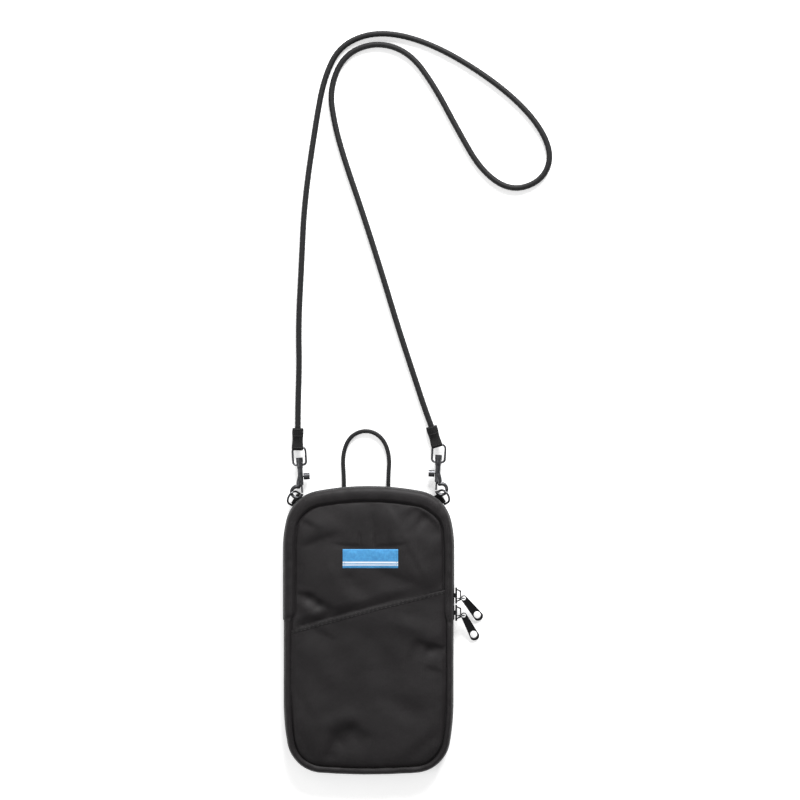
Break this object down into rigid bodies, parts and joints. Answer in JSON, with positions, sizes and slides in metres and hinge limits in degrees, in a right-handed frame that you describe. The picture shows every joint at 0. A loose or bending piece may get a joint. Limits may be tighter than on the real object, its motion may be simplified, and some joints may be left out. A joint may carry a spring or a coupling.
{
  "type": "neck pouch wallet",
  "caption": "Flat zipped neck pouch on a long round cord, with snap hooks, D-rings, a slanted front pocket and two zip pulls.",
  "frame": {"origin": "middle of the back panel's underside, on the surface the pouch lies on", "axes": "+X across the pouch to the wearer's left, +Y up towards the strap, +Z out of the front panel"},
  "size_m": [0.1785, 0.4923, 0.0184],
  "materials": {
    "pouch_cloth": "black ripstop nylon",
    "lining": "thin grey nylon lining",
    "binding": "woven tape",
    "zip_tape": "woven zip tape",
    "zip_coil": "nylon coil",
    "webbing": "flat webbing",
    "cord": "round braid",
    "label_cloth": "blue woven label",
    "gunmetal": "dark plated zinc",
    "spring_wire": "spring steel"
  },
  "bodies": {
    "pouch": {"back_panel": "pouch_cloth", "front_panel": "pouch_cloth", "bottom_gusset": "pouch_cloth", "back_gusset": "pouch_cloth", "side_gusset": "pouch_cloth", "back_tape": "zip_tape", "side_tape": "zip_tape", "back_coil": "zip_coil", "side_coil": "zip_coil", "zip_stops": "gunmetal", "pocket_panel": "pouch_cloth", "pocket_hem": "pouch_cloth", "label": "label_cloth", "divider": "lining", "card_slot_high": "lining", "card_slot_low": "lining", "back_binding": "binding", "front_binding": "binding", "strap_cord": "cord", "grab_loop": "cord", "left_bail": "gunmetal", "right_bail": "gunmetal", "left_ring_tab": "webbing", "right_ring_tab": "webbing", "left_sleeve": "webbing", "right_sleeve": "webbing"},
    "flap": {"flap_panel": "pouch_cloth", "flap_gusset": "pouch_cloth", "flap_tape": "zip_tape", "flap_coil": "zip_coil", "flap_binding": "binding"},
    "lower_slider": {"lower_slider": "gunmetal"},
    "lower_link": {"lower_link": "gunmetal"},
    "lower_pull_tab": {"lower_pull_tab": "gunmetal"},
    "upper_slider": {"upper_slider": "gunmetal"},
    "upper_link": {"upper_link": "gunmetal"},
    "upper_pull_tab": {"upper_pull_tab": "gunmetal"},
    "left_hook": {"left_hook": "gunmetal", "left_bolt_spring": "spring_wire"},
    "left_bolt": {"left_bolt": "gunmetal"},
    "left_d_ring": {"left_d_ring": "gunmetal"},
    "right_hook": {"right_hook": "gunmetal", "right_bolt_spring": "spring_wire"},
    "right_bolt": {"right_bolt": "gunmetal"},
    "right_d_ring": {"right_d_ring": "gunmetal"}
  },
  "joints": [
    {"name": "flap_open", "type": "hinge", "parent": "pouch", "child": "flap", "pos_m": [0, 0.0585, 0.0172], "axis": [1, 0, 0], "range_deg": [0, 70]},
    {"name": "lower_slider_travel", "type": "slide", "parent": "pouch", "child": "lower_slider", "axis": [0, 1, 0], "range_m": [0, 0.014]},
    {"name": "upper_slider_travel", "type": "slide", "parent": "lower_slider", "child": "upper_slider", "axis": [0, 1, 0], "range_m": [0, 0.014]},
    {"name": "lower_pull_lift", "type": "hinge", "parent": "lower_slider", "child": "lower_link", "pos_m": [0.05908, 0.0098, 0.009], "axis": [0, -1, 0], "range_deg": [0, 40]},
    {"name": "lower_pull_swing", "type": "hinge", "parent": "lower_link", "child": "lower_pull_tab", "pos_m": [0.06284, 0.0098, 0.00696], "axis": [0.1515, -0.2899, 0.945], "range_deg": [-12, 8]},
    {"name": "upper_pull_lift", "type": "hinge", "parent": "upper_slider", "child": "upper_link", "pos_m": [0.05908, 0.0212, 0.009], "axis": [0, -1, 0], "range_deg": [0, 40]},
    {"name": "upper_pull_swing", "type": "hinge", "parent": "upper_link", "child": "upper_pull_tab", "pos_m": [0.06284, 0.0212, 0.00696], "axis": [0.2045, -0.2553, 0.945], "range_deg": [-8, 40]},
    {"name": "left_hook_swivel", "type": "hinge", "parent": "pouch", "child": "left_hook", "pos_m": [-0.0456, 0.1093, 0.00439], "axis": [-0.0609, 0.9959, -0.0668], "range_deg": [-6, 2]},
    {"name": "left_bolt_slide", "type": "slide", "parent": "left_hook", "child": "left_bolt", "axis": [-0.0609, 0.9959, -0.0668], "range_m": [0, 0.0038], "stiffness_N_per_m": 150, "springref_m": -0.002},
    {"name": "left_ring_swing", "type": "hinge", "parent": "pouch", "child": "left_d_ring", "pos_m": [-0.04828, 0.08639, 0.0023], "axis": [-0.53, -0.848, 0], "range_deg": [-5, 2]},
    {"name": "right_hook_swivel", "type": "hinge", "parent": "pouch", "child": "right_hook", "pos_m": [0.046, 0.1112, 0.00439], "axis": [0.0522, 0.9964, -0.0668], "range_deg": [-3, 6]},
    {"name": "right_bolt_slide", "type": "slide", "parent": "right_hook", "child": "right_bolt", "axis": [0.0522, 0.9964, -0.0668], "range_m": [0, 0.0038], "stiffness_N_per_m": 150, "springref_m": -0.002},
    {"name": "right_ring_swing", "type": "hinge", "parent": "pouch", "child": "right_d_ring", "pos_m": [0.04797, 0.08724, 0.0023], "axis": [0.53, -0.848, 0], "range_deg": [-4, 4]}
  ]
}
